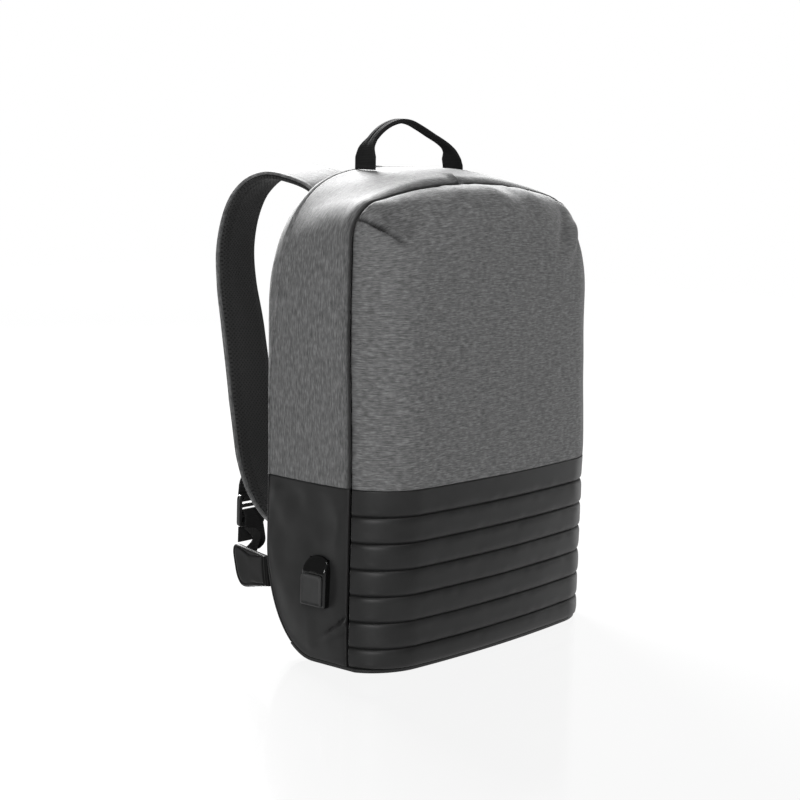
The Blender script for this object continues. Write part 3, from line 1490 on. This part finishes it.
PORT_INNER = HALF - 7
PORT_OUTER = HALF + PORT_STAND
FACE_INSETS = (3, 4.5, 6, 7.5, 9, 10.5, 12, 13)
port_part("usb_housing", arch(PORT_WIDTH, PORT_HEIGHT, PORT_SILL, PORT_WIDTH * 0.47), [
    (0, PORT_INNER), (0, HALF + 3), (0, PORT_OUTER - 3.2), (0.25, PORT_OUTER - 1.9),
    (0.9, PORT_OUTER - 0.8), (1.9, PORT_OUTER - 0.18), *((i, PORT_OUTER) for i in FACE_INSETS),
], GLOSS, 0.8)
COVER_FACE = PORT_OUTER + GAP + COVER_FACE_DEPTH
COVER_ARCH = arch(PORT_WIDTH - 2 * PORT_EDGE, COVER_HEIGHT, PORT_SILL + PORT_EDGE, 5)
port_part("usb_cover", COVER_ARCH, [
    (0.3, PORT_OUTER + GAP), (0, PORT_OUTER + GAP + 0.4), (0, COVER_FACE - 0.7),
    (0.2, COVER_FACE - 0.25), (0.7, COVER_FACE), (2.0, COVER_FACE), (2.4, COVER_FACE - 0.3),
    (5.0, COVER_FACE - 0.3),
], RUBBER)


# Studio
def area_light(name, place, target, size, power):
    light = bpy.data.lights.new(name, "AREA")
    light.shape = "RECTANGLE"
    light.size, light.size_y = size
    light.energy = power
    lamp = bpy.data.objects.new(name, light)
    bpy.context.scene.collection.objects.link(lamp)
    direction = Vector(target) - Vector(place)
    lamp.location = place
    lamp.rotation_euler = direction.to_track_quat("-Z", "Y").to_euler()


def studio():
    scene = bpy.context.scene
    scene.view_settings.view_transform = "Standard"
    world = bpy.data.worlds.new("studio")
    world.use_nodes = True
    tree = world.node_tree
    background = tree.nodes["Background"]
    path = tree.nodes.new("ShaderNodeLightPath")
    level = tree.nodes.new("ShaderNodeMapRange")
    tree.links.new(path.outputs["Is Camera Ray"], level.inputs["Value"])
    level.inputs["To Min"].default_value = 0.2
    level.inputs["To Max"].default_value = 1.0
    tree.links.new(level.outputs["Result"], background.inputs["Strength"])
    background.inputs["Color"].default_value = (1, 1, 1, 1)
    scene.world = world

    floor = bpy.data.meshes.new("studio_floor")
    reach = 4.0
    floor.from_pydata(
        [(-reach, -reach, 0), (reach, -reach, 0), (reach, reach, 0), (-reach, reach, 0)],
        [], [(0, 1, 2, 3)],
    )
    plain = bpy.data.materials.new("studio_floor")
    plain.use_nodes = True
    shader = plain.node_tree.nodes["Principled BSDF"]
    for socket, value in {
        "Base Color": (0.03, 0.03, 0.03, 1), "Roughness": 0.12, "IOR": 1.8,
        "Emission Color": (1, 1, 1, 1), "Emission Strength": 0.88,
    }.items():
        shader.inputs[socket].default_value = value
    floor.materials.append(plain)
    ground = bpy.data.objects.new("studio_floor", floor)
    scene.collection.objects.link(ground)

    # Name, place, target and size in metres, power in watts
    area_light("key", (-2.2, -1.4, 1.3), (0, -0.05, 0.25), (0.8, 0.8), 63)
    area_light("above", (-0.3, -0.9, 2.4), (0, -0.05, 0.3), (0.6, 0.4), 19)
    area_light("top", (0.9, 1.75, 1.6), (0, 0, 0.4), (1.1, 0.8), 370)
    area_light("side", (2.2, -0.3, 0.5), (0.1, -0.05, 0.2), (0.7, 1.0), 6)


# The photograph's camera: yaw, pitch and roll in degrees, place in metres, lens in millimetres
VIEW_TURNS = (50.463, 8.030, 1.564)
VIEW_PLACE = (-1.39354, -1.09812, 0.47751)
VIEW_LENS = 83.33


def camera():
    """The photograph's view: turned about the vertical, tipped down, and rolled a little."""
    yaw, pitch, roll = np.radians(VIEW_TURNS).tolist()
    forward = Vector((
        math.sin(yaw) * math.cos(pitch), math.cos(yaw) * math.cos(pitch), -math.sin(pitch),
    ))
    level = Vector((math.cos(yaw), -math.sin(yaw), 0))
    upright = level.cross(forward)
    right = level * math.cos(roll) + upright * math.sin(roll)
    up = upright * math.cos(roll) - level * math.sin(roll)
    lens = bpy.data.cameras.new("camera")
    lens.sensor_width = 36
    lens.lens = VIEW_LENS
    lens.clip_end = 20
    eye = bpy.data.objects.new("camera", lens)
    bpy.context.scene.collection.objects.link(eye)
    turn = Matrix((right, up, -forward)).transposed().to_4x4()
    eye.matrix_world = Matrix.Translation(VIEW_PLACE) @ turn
    bpy.context.scene.camera = eye


studio()
camera()
